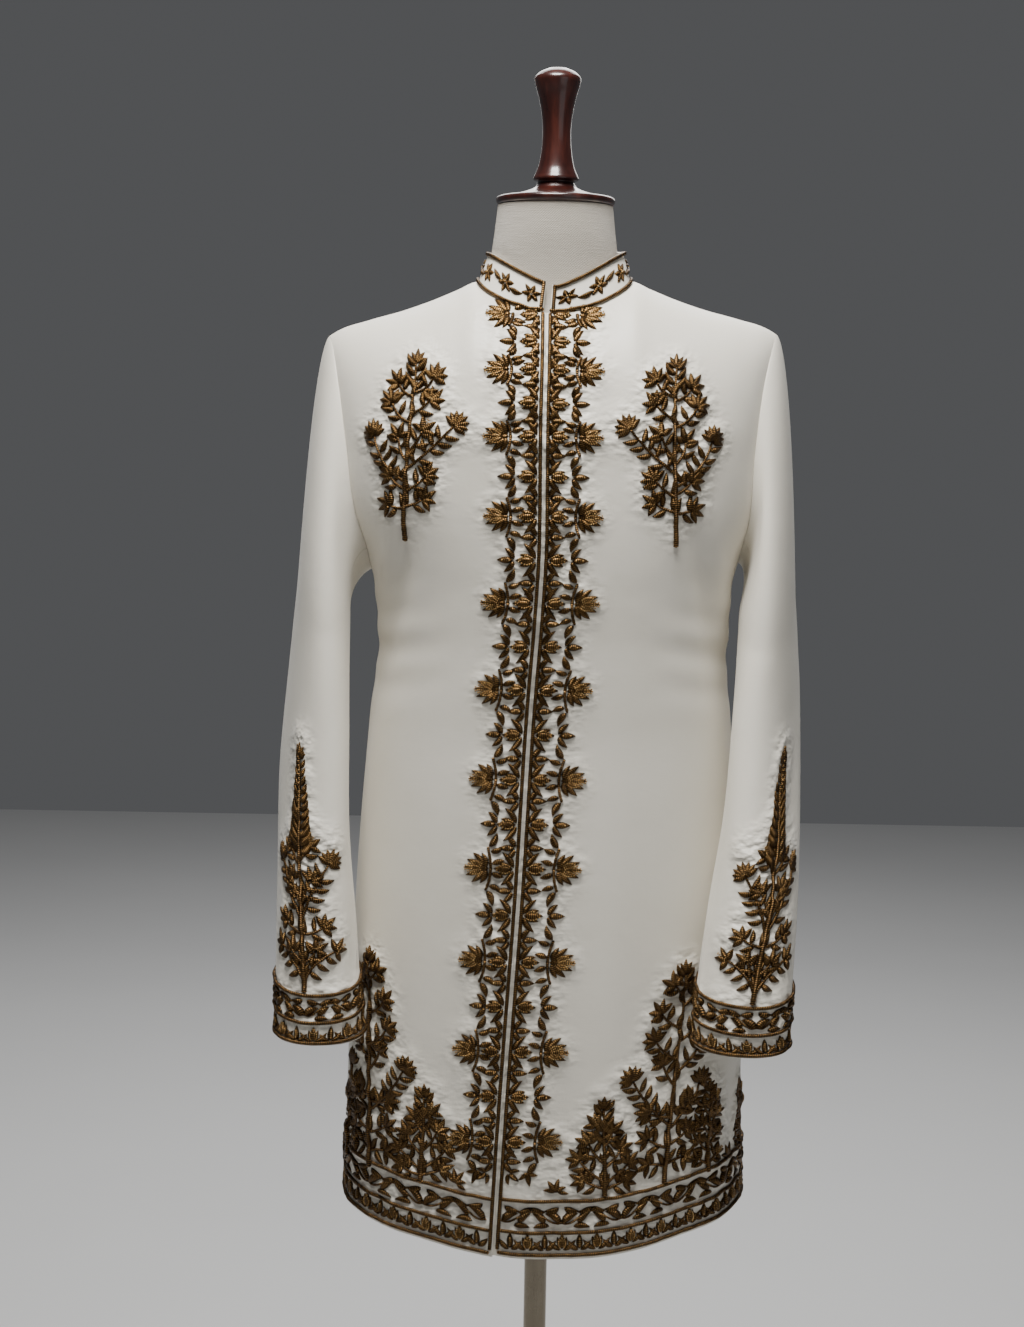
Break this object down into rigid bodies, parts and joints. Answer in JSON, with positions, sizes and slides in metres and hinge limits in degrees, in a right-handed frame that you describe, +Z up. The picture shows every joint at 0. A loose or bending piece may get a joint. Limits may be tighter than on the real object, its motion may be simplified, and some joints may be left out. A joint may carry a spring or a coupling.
{
  "type": "sherwani coat on a limbless dress form with a stand",
  "caption": "Ivory sherwani coat with a band collar and bronze leaf embroidery, worn by a limbless linen dress form with a turned wooden finial on a pole and round base.",
  "frame": {"origin": "centre of the round base's underside, on the floor and on the pole's axis", "axes": "+Z up the pole, the coat's front faces -Y, +X is the wearer's left"},
  "size_m": [0.5028, 0.3572, 1.7006],
  "materials": {
    "cloth": "ivory, smooth, faintly satin",
    "metal_thread": "dark antique gold coiled thread",
    "linen": "greige plain weave",
    "mahogany": "glossy reddish brown",
    "pole": "bright nickel tube",
    "base": "satin dark bronze"
  },
  "bodies": {
    "root": {"front_right": "cloth", "front_left": "cloth", "back": "cloth", "sleeve_right_upper": "cloth", "sleeve_right_under": "cloth", "sleeve_left_upper": "cloth", "sleeve_left_under": "cloth", "collar": "cloth", "cord_front_right": "metal_thread", "cord_front_left": "metal_thread", "cord_collar_top": "metal_thread", "cord_collar_base": "metal_thread", "cord_hem_1": "metal_thread", "cord_hem_2": "metal_thread", "cord_hem_3": "metal_thread", "cord_cuff_right_1": "metal_thread", "cord_cuff_right_2": "metal_thread", "cord_cuff_right_3": "metal_thread", "cord_cuff_left_1": "metal_thread", "cord_cuff_left_2": "metal_thread", "cord_cuff_left_3": "metal_thread", "form_torso": "linen", "neck_block": "mahogany", "finial": "mahogany", "stand_pole": "pole", "stand_base": "base"}
  },
  "joints": []
}
